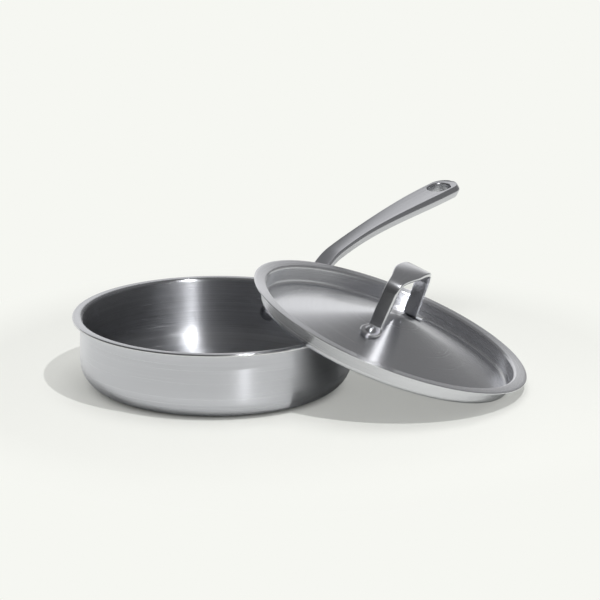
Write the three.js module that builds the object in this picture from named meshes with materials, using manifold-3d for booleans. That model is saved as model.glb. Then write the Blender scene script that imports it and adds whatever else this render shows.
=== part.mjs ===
// Saute pan with its lid leaning on the rim, built from the pieces of the real thing.
// Millimetres, +Z up. The origin is the centre of the pan's base, on the worktop,
// and the long handle points along +X.

import * as THREE from 'three';
import { mergeVertices } from 'three/addons/utils/BufferGeometryUtils.js';
import Module from 'manifold-3d';

const wasm = await Module();
wasm.setup();
const radians = THREE.MathUtils.degToRad;

// Pan body: three bonded plies, pressed as one
const bodyRadius = 132.6;
const panHeight = 69.6;
const baseCornerRadius = 26;
const outerPly = 0.5;
const corePly = 1.6;
const cookingPly = 0.5;
const bondGap = 0.05;
const lipWidth = 7.4;
const lipBendRadius = 1.4;

// Pan handle: a solid casting on a curved base plate
const handleReach = 388.3;
const handleTipHeight = 125.4;
const tipRise = 0.1;
const shoulderReach = 190;
const shoulderHeight = 94.8;
const shoulderRise = 0.274;
const rootHeight = 30;
const rootStandOff = 1.9;
const rootPullOut = 0.16;
const rootPullUp = 0.76;
const shoulderPullBack = 0.17;
const stemPull = 0.315;
const waistHalfWidth = 8.7;
const tipHalfWidth = 14.6;
const rootHalfWidth = 12.5;
const rootShare = 0.35;
const rootFlareLength = 30;
const wideningStart = 25;
const wideningEnd = 15;
const topHollow = 0.6;
const hollowShare = 0.5;
const waistFlare = 1.2;
const tipFlare = 2.6;
const waistEdgeDrop = 3;
const tipEdgeDrop = 5;
const bevelDrop = 7.5;
const bevelInset = 3.7;
const plateThickness = 4.5;
const plateHeight = 25;
const plateMargin = 12;
const hangingHoleHalfWidth = 10.6;
const hangingHoleStraight = 5;
const hangingHoleRim = 10.8;

// Pan rivets: two, one each side of the handle
const rivetHeight = 37;
const rivetAngle = radians(15.3);
const panHeadRadius = 8.3;
const panHeadHeight = 2.8;
const panShankRadius = 3.2;
const panTailRadius = 5.5;
const panTailHeight = 2;
const tailSideShare = 0.4;
const tailFlatShare = 0.7;

// Lid: one sheet, pressed with a flat flange, a skirt and a coned middle
const flangeRadius = 141.7;
const skirtRadius = 129.2;
const skirtDepth = 19;
const lidSheet = 1;
const flangeBendRadius = 3;
const grooveRadius = 4;
const coneSlope = radians(15);
const apexRadius = 60;

// Lid handle: a cast strap with a broad grip and two feet
const strapAngle = radians(70.5);
const strapThickness = 4;
const legThickness = 5;
const gripHeight = 62.5;
const strapShoulderHeight = 51;
const footReach = 65;
const legToRivet = 9.5;
const legLean = 5;
const legHalfWidth = 7.5;
const gripHalfWidth = 14.3;
const footHalfWidth = 10.5;
const footBend = 3.5;
const shoulderBend = 9;
const browShare = 0.2;
const gripFlatShare = 0.25;

// Lid rivets
const lidHeadRadius = 5.6;
const lidHeadHeight = 3;
const lidShankRadius = 2.4;
const lidTailRadius = 4.2;
const lidTailHeight = 1.2;

// How the lid leans: the distance of its middle from the pan's axis, and its direction
const lidDistance = 170.8;
const lidDirection = radians(-57);

// Clearances
const seatGap = 0.3;
const holeGap = 0.3;
const leanGap = 0.3;

// Fineness of the round surfaces
const ringSegments = 40;
const rivetSegments = 20;
const outlineSegments = 10;
const arcSteps = 4;
const smallArcSteps = 3;
const rootRings = 10;
const stemRings = 7;
const noseRings = 8;
const leanStep = radians(0.5);
const halvings = 40;

const wall = outerPly + corePly + cookingPly;
const rimRadius = bodyRadius + lipWidth;
const lidRivetOffset = footReach - footHalfWidth;
const legFootOffset = lidRivetOffset - legToRivet;
const shoulderOffset = legFootOffset - legLean;
const facetRatio = Math.cos(Math.PI / ringSegments);

// Materials

function steel(color, roughness) {
  return new THREE.MeshStandardMaterial({ color, roughness, metalness: 1 });
}

const brushedSteel = steel(0xb9babc, 0.32);
const insideSteel = steel(0xa9aaac, 0.36);
const aluminium = steel(0xc9cbcd, 0.5);
const castSteel = steel(0xb0b1b4, 0.38);
const rivetSteel = steel(0x9a9b9e, 0.3);

// Geometry helpers

// Welds a geometry, drops collapsed triangles and turns the faces outwards
function closed(geometry) {
  const bare = geometry.index ? geometry.toNonIndexed() : geometry.clone();
  for (const name of Object.keys(bare.attributes)) {
    if (name !== 'position') bare.deleteAttribute(name);
  }
  const welded = mergeVertices(bare, 1e-4);
  const position = welded.attributes.position;
  const source = welded.index.array;
  const kept = [];
  let volume = 0;
  const corner = [new THREE.Vector3(), new THREE.Vector3(), new THREE.Vector3()];
  for (let i = 0; i < source.length; i += 3) {
    const [a, b, c] = [source[i], source[i + 1], source[i + 2]];
    if (a === b || b === c || c === a) continue;
    kept.push(a, b, c);
    [a, b, c].forEach((index, k) => corner[k].fromBufferAttribute(position, index));
    volume += corner[0].dot(corner[1].cross(corner[2]));
  }
  if (volume < 0) kept.reverse();
  welded.setIndex(kept);
  return welded;
}

function toSolid(geometry) {
  const welded = closed(geometry);
  return new wasm.Manifold(new wasm.Mesh({
    numProp: 3,
    vertProperties: new Float32Array(welded.attributes.position.array),
    triVerts: new Uint32Array(welded.index.array),
  }));
}

function toGeometry(solid) {
  const mesh = solid.getMesh();
  const geometry = new THREE.BufferGeometry();
  geometry.setAttribute('position', new THREE.BufferAttribute(mesh.vertProperties, 3));
  geometry.setIndex(new THREE.BufferAttribute(mesh.triVerts, 1));
  return closed(geometry);
}

function cut(geometry, tools) {
  const solid = tools.reduce((rest, tool) => rest.subtract(toSolid(tool)), toSolid(geometry));
  return toGeometry(solid);
}

// Turns a profile of (radius, height) points about Z
function turned(profile, segments) {
  return closed(new THREE.LatheGeometry(profile, segments).rotateX(Math.PI / 2));
}

// Points of an arc in the profile plane, from one angle to another
function arc(centreRadius, centreHeight, radius, from, to, steps = arcSteps) {
  return Array.from({ length: steps + 1 }, (_, i) => {
    const angle = from + ((to - from) * i) / steps;
    return new THREE.Vector2(
      centreRadius + radius * Math.cos(angle),
      centreHeight + radius * Math.sin(angle),
    );
  });
}

// A solid through a row of rings that all have the same number of points
function loft(rings) {
  const count = rings[0].length;
  const points = rings.flat();
  const index = [];
  for (let i = 0; i + 1 < rings.length; i += 1) {
    for (let j = 0; j < count; j += 1) {
      const a = i * count + j;
      const b = i * count + ((j + 1) % count);
      index.push(a, b, b + count, a, b + count, a + count);
    }
  }
  for (const end of [0, rings.length - 1]) {
    const middle = new THREE.Vector3();
    rings[end].forEach((point) => middle.addScaledVector(point, 1 / count));
    points.push(middle);
    for (let j = 0; j < count; j += 1) {
      const a = end * count + j;
      const b = end * count + ((j + 1) % count);
      if (end === 0) index.push(points.length - 1, b, a);
      else index.push(points.length - 1, a, b);
    }
  }
  const geometry = new THREE.BufferGeometry().setFromPoints(points);
  geometry.setIndex(index);
  return closed(geometry);
}

function smooth(value, from, to) {
  return THREE.MathUtils.smoothstep(value, from, to);
}

function piece(name, geometry, material) {
  const mesh = new THREE.Mesh(geometry, material);
  mesh.name = name;
  return mesh;
}

// Pan plies

// The pan's section at a depth below its outside face: base, corner, wall and flat lip
const lipBendCentre = bodyRadius + lipBendRadius;
const lipBendHeight = panHeight - wall - lipBendRadius;

function panSection(depth) {
  const cornerCentre = bodyRadius - baseCornerRadius;
  const corner = arc(cornerCentre, baseCornerRadius, baseCornerRadius - depth, -Math.PI / 2, 0);
  const lipBend = arc(lipBendCentre, lipBendHeight, lipBendRadius + depth, Math.PI, Math.PI / 2);
  const lipEdge = new THREE.Vector2(rimRadius, lipBendHeight + lipBendRadius + depth);
  return [new THREE.Vector2(0, depth), ...corner, ...lipBend, lipEdge];
}

function ply(outside, inside) {
  return turned([...panSection(outside), ...panSection(inside).reverse()], ringSegments);
}

// A drill through the wall along a rivet's axis
function atRivet(geometry, side) {
  return geometry.rotateZ(side * rivetAngle).translate(0, 0, rivetHeight);
}

function wallDrills() {
  const length = 2 * rimRadius;
  return [1, -1].map((side) => {
    const drill = new THREE.CylinderGeometry(
      panShankRadius + holeGap, panShankRadius + holeGap, length, rivetSegments,
    );
    return atRivet(drill.rotateZ(Math.PI / 2).translate(length / 2, 0, 0), side);
  });
}

const outerFace = 0;
const coreFace = outerPly;
const cookingFace = outerPly + corePly;

function drilledPly(outside, inside) {
  return cut(ply(outside, inside), wallDrills());
}

// Pan handle

const plateInside = bodyRadius + seatGap;
const plateOutside = plateInside + plateThickness;

// Upper line of the stem, in the plane of the handle
function stemLine() {
  const root = new THREE.Vector2(bodyRadius + rootStandOff, rootHeight);
  const shoulder = new THREE.Vector2(shoulderReach, shoulderHeight);
  const tip = new THREE.Vector2(handleReach, handleTipHeight);
  const out = shoulder.x - root.x;
  const climb = shoulder.y - root.y;
  const run = tip.x - shoulder.x;
  const lower = new THREE.CubicBezierCurve(
    root,
    new THREE.Vector2(root.x + out * rootPullOut, root.y + climb * rootPullUp),
    new THREE.Vector2(
      shoulder.x - out * shoulderPullBack,
      shoulder.y - shoulderRise * out * shoulderPullBack,
    ),
    shoulder,
  );
  const upper = new THREE.CubicBezierCurve(
    shoulder,
    new THREE.Vector2(shoulder.x + run * stemPull, shoulder.y + shoulderRise * run * stemPull),
    new THREE.Vector2(tip.x - run * stemPull, tip.y - tipRise * run * stemPull),
    tip,
  );
  return [lower, upper];
}

const roundCentre = handleReach - tipHalfWidth - tipFlare;

// Half width of the stem's top face at a distance from the pan's axis, up to the round end
function topHalfWidth(reach) {
  const flare = 1 - smooth(reach, bodyRadius, bodyRadius + rootFlareLength);
  const root = (rootHalfWidth - waistHalfWidth) * flare;
  const widening = smooth(reach, shoulderReach + wideningStart, roundCentre - wideningEnd);
  return waistHalfWidth + root + (tipHalfWidth - waistHalfWidth) * widening;
}

// Half widths and drops of the stem's section: top face, widest line and underside
function stemSizes(reach, height) {
  const grown = rootShare + (1 - rootShare) * smooth(height, rootHeight, rootHeight + rootFlareLength);
  const along = smooth(reach, shoulderReach, roundCentre);
  const flare = grown * THREE.MathUtils.lerp(waistFlare, tipFlare, along);
  const edge = grown * THREE.MathUtils.lerp(waistEdgeDrop, tipEdgeDrop, along);
  const under = edge + grown * bevelDrop;
  const inset = grown * bevelInset;
  const past = Math.max(reach - roundCentre, 0);
  const top = topHalfWidth(Math.min(reach, roundCentre));
  const widest = top + flare;
  const narrow = widest - inset;
  const chord = (radius) => Math.sqrt(Math.max(radius ** 2 - past ** 2, 0));
  return {
    top: [chord(top), (edge * Math.max(past - top, 0)) / flare],
    widest: [chord(widest), edge],
    under: [chord(narrow), under - (bevelDrop * grown * Math.max(past - narrow, 0)) / inset],
  };
}

// One ring of the stem: hollow top, sides that flare out, lower bevels that lean in
function stemRing(point, tangent) {
  const { top, widest, under } = stemSizes(point.x, point.y);
  const hollow = top[1] + topHollow * Math.min(1, top[0] / waistHalfWidth);
  const right = [[hollowShare * top[0], hollow], top, widest, under];
  const left = right.map(([across, down]) => [-across, down]).reverse();
  const normal = new THREE.Vector2(-tangent.y, tangent.x);
  return [...right, ...left].map(([across, down]) => new THREE.Vector3(
    point.x - normal.x * down,
    across,
    point.y - normal.y * down,
  ));
}

// How far along a curve it comes to a distance from the pan's axis
function shareAt(curve, reach) {
  let low = 0;
  let high = 1;
  for (let i = 0; i < halvings; i += 1) {
    const middle = (low + high) / 2;
    if (curve.getPoint(middle).x < reach) low = middle;
    else high = middle;
  }
  return high;
}

function stem() {
  const [lower, upper] = stemLine();
  const spots = [];
  for (let i = 0; i < rootRings; i += 1) spots.push([lower, i / rootRings]);
  const roundStart = shareAt(upper, roundCentre);
  for (let i = 0; i < stemRings; i += 1) spots.push([upper, (roundStart * i) / stemRings]);
  for (let i = 0; i <= noseRings; i += 1) {
    const reach = roundCentre + (handleReach - roundCentre) * Math.sin((Math.PI * i) / noseRings / 2);
    spots.push([upper, shareAt(upper, reach)]);
  }
  return loft(spots.map(([curve, t]) => stemRing(curve.getPoint(t), curve.getTangent(t))));
}

// Base plate: a piece of ring with round ends that hugs the wall
function basePlate() {
  const halfAngle = rivetAngle + plateMargin / plateOutside;
  const ring = new THREE.Shape();
  ring.absarc(0, 0, plateOutside, -halfAngle, halfAngle, false);
  ring.absarc(0, 0, plateInside, halfAngle, -halfAngle, true);
  const band = new THREE.ExtrudeGeometry(ring, {
    depth: plateHeight, bevelEnabled: false, curveSegments: outlineSegments,
  }).translate(0, 0, rivetHeight - plateHeight / 2);
  const halfSpan = plateOutside * Math.sin(halfAngle);
  const round = plateHeight / 2;
  const outline = new THREE.Shape();
  outline.absarc(halfSpan - round, 0, round, -Math.PI / 2, Math.PI / 2, false);
  outline.absarc(round - halfSpan, 0, round, Math.PI / 2, (3 * Math.PI) / 2, false);
  const block = new THREE.ExtrudeGeometry(outline, {
    depth: 2 * plateOutside, bevelEnabled: false, curveSegments: outlineSegments,
  });
  block.applyMatrix4(new THREE.Matrix4().makeBasis(
    new THREE.Vector3(0, 1, 0), new THREE.Vector3(0, 0, 1), new THREE.Vector3(1, 0, 0),
  )).translate(0, 0, rivetHeight);
  return toSolid(band).intersect(toSolid(block));
}

// The space that the pan and its clearance take
function panClearance() {
  const section = panSection(-seatGap);
  const top = section[section.length - 1];
  const above = panHeight + baseCornerRadius;
  const profile = [...section, new THREE.Vector2(top.x, above), new THREE.Vector2(0, above)];
  return turned(profile, ringSegments);
}

function hangingHole() {
  const centre = handleReach - hangingHoleRim - hangingHoleHalfWidth;
  const half = hangingHoleHalfWidth;
  const slot = new THREE.Shape();
  slot.absarc(centre, 0, half, -Math.PI / 2, Math.PI / 2, false);
  slot.absarc(centre - hangingHoleStraight, 0, half, Math.PI / 2, (3 * Math.PI) / 2, false);
  return new THREE.ExtrudeGeometry(slot, {
    depth: 2 * handleTipHeight, bevelEnabled: false, curveSegments: outlineSegments,
  });
}

function panHandle() {
  const casting = toSolid(stem()).add(basePlate());
  return cut(toGeometry(casting), [panClearance(), hangingHole(), ...wallDrills()]);
}

// Rivets

// A turned rivet on its own axis: domed head, shank and formed tail
function rivet({ headRadius, headHeight, shankRadius, tailRadius, tailHeight, grip }) {
  const headBase = grip + headHeight;
  const domeRadius = (headRadius ** 2 + headHeight ** 2) / (2 * headHeight);
  const domeEdge = Math.asin(headRadius / domeRadius);
  const dome = arc(0, headBase - domeRadius, domeRadius, Math.PI / 2, Math.PI / 2 - domeEdge);
  dome[0].x = 0;
  const tail = [
    new THREE.Vector2(shankRadius, grip),
    new THREE.Vector2(shankRadius, 0),
    new THREE.Vector2(tailRadius, 0),
    new THREE.Vector2(tailRadius, -tailHeight * tailSideShare),
    new THREE.Vector2(tailRadius * tailFlatShare, -tailHeight),
    new THREE.Vector2(0, -tailHeight),
  ];
  return turned([...dome, ...tail], rivetSegments);
}

// The head lies in the round of the pan, so its rim meets the wall first
function panRivet(side) {
  const insideFace = (bodyRadius - wall) * facetRatio;
  const headSeat = Math.sqrt(insideFace ** 2 - panHeadRadius ** 2) - seatGap;
  const tailSeat = plateOutside + seatGap;
  const geometry = rivet({
    headRadius: panHeadRadius,
    headHeight: panHeadHeight,
    shankRadius: panShankRadius,
    tailRadius: panTailRadius,
    tailHeight: panTailHeight,
    grip: tailSeat - headSeat,
  });
  return atRivet(geometry.rotateY(-Math.PI / 2).translate(tailSeat, 0, 0), side);
}

// Lid sheet, about its own axis, with the top of the flange at height 0

// Section at a depth below the top face, from the middle to the flange's edge
function lidSection(depth) {
  const wallRadius = skirtRadius - lidSheet;
  const grooveHeight = -skirtDepth + grooveRadius + lidSheet;
  const groove = arc(
    wallRadius - grooveRadius, grooveHeight, grooveRadius + depth,
    -Math.PI / 2 - coneSlope, 0,
  );
  const apexHeight = coneHeight(0) - apexRadius / Math.cos(coneSlope);
  const apex = arc(
    0, apexHeight, apexRadius - depth,
    Math.PI / 2, Math.PI / 2 - coneSlope, smallArcSteps,
  );
  apex[0].x = 0;
  const bend = arc(
    wallRadius + flangeBendRadius, -flangeBendRadius, flangeBendRadius - depth,
    Math.PI, Math.PI / 2, smallArcSteps,
  );
  return [...apex, ...groove, ...bend, new THREE.Vector2(flangeRadius, -depth)];
}

// Height of the cone's top face, as if it ran to a point
function coneHeight(radius) {
  const tangentRadius = skirtRadius - lidSheet - grooveRadius - grooveRadius * Math.sin(coneSlope);
  const tangentHeight = -skirtDepth + grooveRadius + lidSheet - grooveRadius * Math.cos(coneSlope);
  return tangentHeight + (tangentRadius - radius) * Math.tan(coneSlope);
}

// Moves a piece made along Z to a lid rivet's axis, square to the cone
function atLidRivet(geometry, side) {
  return geometry
    .rotateY(coneSlope)
    .translate(lidRivetOffset, 0, coneHeight(lidRivetOffset))
    .rotateZ(strapAngle + (side > 0 ? 0 : Math.PI));
}

function lidDrills() {
  const length = 2 * gripHeight;
  return [1, -1].map((side) => {
    const drill = new THREE.CylinderGeometry(
      lidShankRadius + holeGap, lidShankRadius + holeGap, length / 2, rivetSegments,
    );
    return atLidRivet(drill.rotateX(Math.PI / 2), side);
  });
}

function lidShell() {
  const profile = [...lidSection(0), ...lidSection(lidSheet).reverse()];
  return cut(turned(profile, ringSegments), lidDrills());
}

// Lid handle

// Half of the strap's middle line, from a foot to the top of the grip, as curves with the
// number of steps along each and the thickness at both ends
function strapLine() {
  const rise = (seatGap + strapThickness / 2) / Math.cos(coneSlope);
  const footTip = new THREE.Vector2(footReach, coneHeight(footReach) + rise);
  const foot = new THREE.Vector2(legFootOffset, coneHeight(legFootOffset) + rise);
  const shoulder = new THREE.Vector2(shoulderOffset, strapShoulderHeight);
  const top = new THREE.Vector2(0, gripHeight - strapThickness / 2);
  const pullHeight = (2 * top.y - strapShoulderHeight * (1 - browShare)) / (1 + browShare);
  const pull = new THREE.Vector2(0, pullHeight);
  const toward = (from, to, distance) => (
    from.clone().add(to.clone().sub(from).setLength(distance))
  );
  const footOut = toward(foot, footTip, footBend);
  const footUp = toward(foot, shoulder, footBend);
  const neck = toward(shoulder, foot, shoulderBend);
  const brow = shoulder.clone().lerp(pull, browShare);
  const thin = strapThickness;
  const thick = legThickness;
  return [
    [new THREE.LineCurve(footTip, footOut), 1, thin, thin],
    [new THREE.QuadraticBezierCurve(footOut, foot, footUp), arcSteps, thin, thick],
    [new THREE.LineCurve(footUp, neck), 1, thick, thick],
    [new THREE.QuadraticBezierCurve(neck, shoulder, brow), arcSteps, thick, thin],
    [new THREE.QuadraticBezierCurve(brow, brow.clone().lerp(pull, 1 / 2), top), arcSteps, thin, thin],
  ];
}

// Outline of the strap seen from the side, as two faces a thickness apart
function strapSide() {
  const spots = [];
  for (const [curve, steps, from, to] of strapLine()) {
    for (let i = 0; i < steps; i += 1) {
      const t = i / steps;
      const thickness = THREE.MathUtils.lerp(from, to, t);
      spots.push([curve.getPoint(t), curve.getTangent(t), thickness]);
    }
  }
  const middle = [
    new THREE.Vector2(0, gripHeight - strapThickness / 2),
    new THREE.Vector2(-1, 0),
    strapThickness,
  ];
  const face = (sign) => {
    const offset = ([point, tangent, thickness]) => new THREE.Vector2(
      point.x - (sign * tangent.y * thickness) / 2,
      point.y + (sign * tangent.x * thickness) / 2,
    );
    const there = spots.map(offset);
    const back = there.map((point) => new THREE.Vector2(-point.x, point.y)).reverse();
    return [...there, offset(middle), ...back];
  };
  return new THREE.Shape([...face(1), ...face(-1).reverse()]);
}

// Outline of the strap seen from above: round feet, narrow legs, broad grip
function strapPlan() {
  const plan = new THREE.Shape();
  const flat = shoulderOffset * gripFlatShare;
  const third = (shoulderOffset - flat) / 3;
  const side = (sign) => {
    plan.lineTo(sign * legFootOffset, sign * legHalfWidth);
    plan.lineTo(sign * shoulderOffset, sign * legHalfWidth);
    plan.bezierCurveTo(
      sign * (shoulderOffset - third), sign * legHalfWidth,
      sign * (flat + third), sign * gripHalfWidth,
      sign * flat, sign * gripHalfWidth,
    );
    plan.lineTo(-sign * flat, sign * gripHalfWidth);
    plan.bezierCurveTo(
      -sign * (flat + third), sign * gripHalfWidth,
      -sign * (shoulderOffset - third), sign * legHalfWidth,
      -sign * shoulderOffset, sign * legHalfWidth,
    );
    plan.lineTo(-sign * legFootOffset, sign * legHalfWidth);
  };
  plan.absarc(lidRivetOffset, 0, footHalfWidth, -Math.PI / 2, Math.PI / 2, false);
  side(1);
  plan.absarc(-lidRivetOffset, 0, footHalfWidth, Math.PI / 2, (3 * Math.PI) / 2, false);
  side(-1);
  return plan;
}

function lidHandle() {
  const width = 4 * gripHalfWidth;
  const ribbon = new THREE.ExtrudeGeometry(strapSide(), { depth: width, bevelEnabled: false });
  ribbon.rotateX(Math.PI / 2).translate(0, width / 2, 0);
  const column = new THREE.ExtrudeGeometry(strapPlan(), {
    depth: 4 * gripHeight, bevelEnabled: false, curveSegments: outlineSegments,
  }).translate(0, 0, -2 * gripHeight);
  const strap = toGeometry(toSolid(ribbon).intersect(toSolid(column)));
  return cut(strap.rotateZ(strapAngle), lidDrills());
}

function lidRivet(side) {
  const tailSeat = -lidSheet - seatGap;
  const headSeat = strapThickness + 2 * seatGap;
  const geometry = rivet({
    headRadius: lidHeadRadius,
    headHeight: lidHeadHeight,
    shankRadius: lidShankRadius,
    tailRadius: lidTailRadius,
    tailHeight: lidTailHeight,
    grip: headSeat - tailSeat,
  });
  return atLidRivet(geometry.translate(0, 0, tailSeat), side);
}

// The lean: the skirt stands on the worktop and the underside lies on the lip

// Height of the lid's middle when the lowest point of its underside is on the worktop
function lidHeight(lean) {
  const reach = lidSection(lidSheet).map((p) => p.x * Math.sin(lean) - p.y * Math.cos(lean));
  return Math.max(...reach);
}

// Distance from a point to the underside, negative where the point is above it
function underneath(radius, height, section) {
  let nearest = Infinity;
  let ceiling = -lidSheet;
  for (let i = 0; i + 1 < section.length; i += 1) {
    const [a, b] = [section[i], section[i + 1]];
    const along = b.clone().sub(a);
    const spot = new THREE.Vector2(radius, height);
    const t = THREE.MathUtils.clamp(spot.clone().sub(a).dot(along) / along.lengthSq(), 0, 1);
    nearest = Math.min(nearest, spot.distanceTo(a.clone().addScaledVector(along, t)));
    if (a.x <= radius && radius < b.x) {
      ceiling = Math.min(ceiling, a.y + ((radius - a.x) / along.x) * along.y);
    }
  }
  return height < ceiling ? nearest : -nearest;
}

// Least distance between the lip and the lid's underside at a lean
function leanClearance(lean) {
  const section = lidSection(lidSheet);
  const lip = panSection(wall).pop();
  const middle = lidHeight(lean);
  let least = Infinity;
  for (let angle = 0; angle < Math.PI / 2; angle += leanStep) {
    const forward = lip.x * Math.cos(angle) - lidDistance;
    const up = lip.y - middle;
    const along = forward * Math.cos(lean) - up * Math.sin(lean);
    const height = forward * Math.sin(lean) + up * Math.cos(lean);
    const radius = Math.hypot(along, lip.x * Math.sin(angle));
    if (radius < flangeRadius) least = Math.min(least, underneath(radius, height, section));
  }
  return least;
}

function findLean() {
  let low = 0;
  let high = Math.PI / 2 - leanStep;
  for (let i = 0; i < halvings; i += 1) {
    const lean = (low + high) / 2;
    if (leanClearance(lean) < leanGap) low = lean;
    else high = lean;
  }
  return high;
}

// Assembly

const pan = new THREE.Group();
pan.add(
  piece('pan_outer_ply', drilledPly(outerFace, coreFace), brushedSteel),
  piece('pan_aluminium_core', drilledPly(coreFace + bondGap, cookingFace), aluminium),
  piece('pan_cooking_surface', drilledPly(cookingFace + bondGap, wall), insideSteel),
  piece('pan_handle', panHandle(), castSteel),
  piece('pan_rivet_left', panRivet(1), rivetSteel),
  piece('pan_rivet_right', panRivet(-1), rivetSteel),
);

const lid = new THREE.Group();
lid.add(
  piece('lid_shell', lidShell(), brushedSteel),
  piece('lid_handle', lidHandle(), castSteel),
  piece('lid_rivet_near', lidRivet(-1), rivetSteel),
  piece('lid_rivet_far', lidRivet(1), rivetSteel),
);
const lean = findLean();
lid.rotation.set(0, lean, lidDirection, 'ZYX');
lid.position.set(
  lidDistance * Math.cos(lidDirection),
  lidDistance * Math.sin(lidDirection),
  lidHeight(lean),
);

const sautePan = new THREE.Group();
sautePan.add(pan, lid);

export default sautePan;
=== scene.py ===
"""Saute pan with its lid leaning on the rim: finishes, light and camera."""

import math

import bmesh
import bpy
from mathutils import Matrix, Vector


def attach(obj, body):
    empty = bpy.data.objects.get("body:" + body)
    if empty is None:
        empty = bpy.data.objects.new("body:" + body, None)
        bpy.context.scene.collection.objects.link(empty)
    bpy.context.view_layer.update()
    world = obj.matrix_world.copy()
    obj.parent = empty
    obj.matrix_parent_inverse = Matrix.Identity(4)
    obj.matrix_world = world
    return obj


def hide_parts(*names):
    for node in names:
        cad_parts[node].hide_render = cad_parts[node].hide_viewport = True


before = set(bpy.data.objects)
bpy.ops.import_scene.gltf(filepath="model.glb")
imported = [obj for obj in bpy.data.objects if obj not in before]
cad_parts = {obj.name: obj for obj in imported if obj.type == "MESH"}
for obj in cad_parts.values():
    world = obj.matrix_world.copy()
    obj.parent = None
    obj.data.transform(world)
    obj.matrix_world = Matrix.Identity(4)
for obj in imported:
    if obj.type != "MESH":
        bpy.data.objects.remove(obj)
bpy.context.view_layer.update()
MM = 0.001
QUARTER = math.pi / 2

# Sizes in millimetres, shares of them and angles, the same as in the solids

BODY_RADIUS = 132.6
PAN_HEIGHT = 69.6
BASE_CORNER_RADIUS = 26
OUTER_PLY = 0.5
CORE_PLY = 1.6
COOKING_PLY = 0.5
BOND_GAP = 0.05
WALL = OUTER_PLY + CORE_PLY + COOKING_PLY
LIP_WIDTH = 7.4
LIP_BEND = 1.4
RIM_RADIUS = BODY_RADIUS + LIP_WIDTH
SOLID_SEGMENTS = 40

HANDLE_REACH = 388.3
HANDLE_TIP_HEIGHT = 125.4
TIP_RISE = 0.1
SHOULDER = (190, 94.8)
SHOULDER_RISE = 0.274
SHOULDER_PULL = 0.17
STEM_PULL = 0.315
ROOT = (BODY_RADIUS + 1.9, 30)
ROOT_PULL = (0.16, 0.76)
ROOT_SHARE = 0.35
ROOT_FLARE = 30
ROOT_HALF_WIDTH = 12.5
WAIST_HALF_WIDTH = 8.7
TIP_HALF_WIDTH = 14.6
WIDENING_START = 25
WIDENING_END = 15
SIDE_FLARE = (1.2, 2.6)
EDGE_DROP = (3.0, 5.0)
BEVEL_DROP = 7.5
BEVEL_INSET = 3.7
TOP_HOLLOW = 0.6
PLATE_INSIDE = BODY_RADIUS + 0.3
PLATE_THICKNESS = 4.5
PLATE_HEIGHT = 25
PLATE_MARGIN = 12
HOLE_HALF_WIDTH = 10.6
HOLE_STRAIGHT = 5
HOLE_RIM = 10.8

FLANGE_RADIUS = 141.7
SKIRT_RADIUS = 129.2
SKIRT_DEPTH = 19
LID_SHEET = 1
FLANGE_BEND = 3
GROOVE_RADIUS = 4
CONE_SLOPE = math.radians(15)
APEX_RADIUS = 60

STRAP_ANGLE = math.radians(70.5)
STRAP_THICKNESS = 4
LEG_THICKNESS = 5
GRIP_HEIGHT = 62.5
GRIP_HALF_WIDTH = 14.3
GRIP_SHARE = 0.25
STRAP_SHOULDER = (40, 51)
SHOULDER_BEND = 9
BROW_SHARE = 0.2
LEG_FOOT = 45
LEG_HALF_WIDTH = 7.5
FOOT_REACH = 65
FOOT_HALF_WIDTH = 10.5
FOOT_BEND = 3.5
SEAT_GAP = 0.3

RIVET_HEIGHT = 37
RIVET_ANGLE = math.radians(15.3)
LID_RIVET_OFFSET = 54.5
PAN_RIVET = {
    "head_radius": 8.3, "head_height": 2.8, "shank_radius": 3.2, "tail_radius": 5.5, "tail_height": 2,
}
LID_RIVET = {
    "head_radius": 5.6, "head_height": 3, "shank_radius": 2.4, "tail_radius": 4.2, "tail_height": 1.2,
}

LID_LEAN = math.radians(20.850)
LID_DIRECTION = math.radians(-57)
LID_DISTANCE = 170.8
LID_HEIGHT = 62.22

# Small roundings that only this script has, in millimetres and shares

LIP_EDGE_ROUND = 1.5
LIP_EDGE_EASE = 0.3
HOLLOW_WIDTH = 8
DISH_SPOTS = (0, 0.25, 0.5, 0.72, 0.88)
DISH_EDGE = 0.94
UNDER_SPOTS = (0.5, 0.2)
STEM_CUTS = (0.7, 1.0, 2.2)
CUT_LIMIT = 0.45
NOSE_END = 0.02
HOLE_MOUTH = 1.3
MOUTH_SINK = (0.1, 0.45)
CUTTER_REACH = 12
PLATE_EASE = 1.2
PLATE_BACK_EASE = 0.2
PLATE_BACK_SHARE = 0.05
PLATE_ROUNDING = ((1, 0), (0.62, 0.08), (0.3, 0.3), (0.08, 0.62), (0, 1))
PLATE_FACE_STEP = 3
PLATE_FACE_SHARES = (0.6, 0.95)
SPACE_ABOVE = 30
FLANGE_EDGE_STEP = 3
FLANGE_EDGE_EASE = 0.3
FLANGE_EDGE_CUT = 0.08
FOOT_END_SHARE = 0.998
STRAP_EDGE_SHARE = 0.9
STRAP_EDGE_LIMIT = 0.5
DOME_SHARE = 0.94
HEAD_RIM = (0.25, 0.02)
TAIL_SHAPE = ((1, 0), (1, 0.4), (0.9, 0.75), (0.7, 1), (0, 1))

# Fineness of the round surfaces

PAN_SEGMENTS = 216
LID_SEGMENTS = 240
RIVET_SEGMENTS = 48
ROOT_RINGS = 40
STEM_RINGS = 60
NOSE_RINGS = 32
MOUTH_STEPS = 6
PLATE_STEPS = 40
LIP_EDGE_STEPS = 12
HALVINGS = 40
WELD = 2e-6


# Small helpers for shapes

def arc(centre, radius, start, end, steps):
    """Points of an arc from one angle to another, both ends kept."""
    angles = [start + (end - start) * i / steps for i in range(steps + 1)]
    return [(centre[0] + radius * math.cos(a), centre[1] + radius * math.sin(a)) for a in angles]


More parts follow.
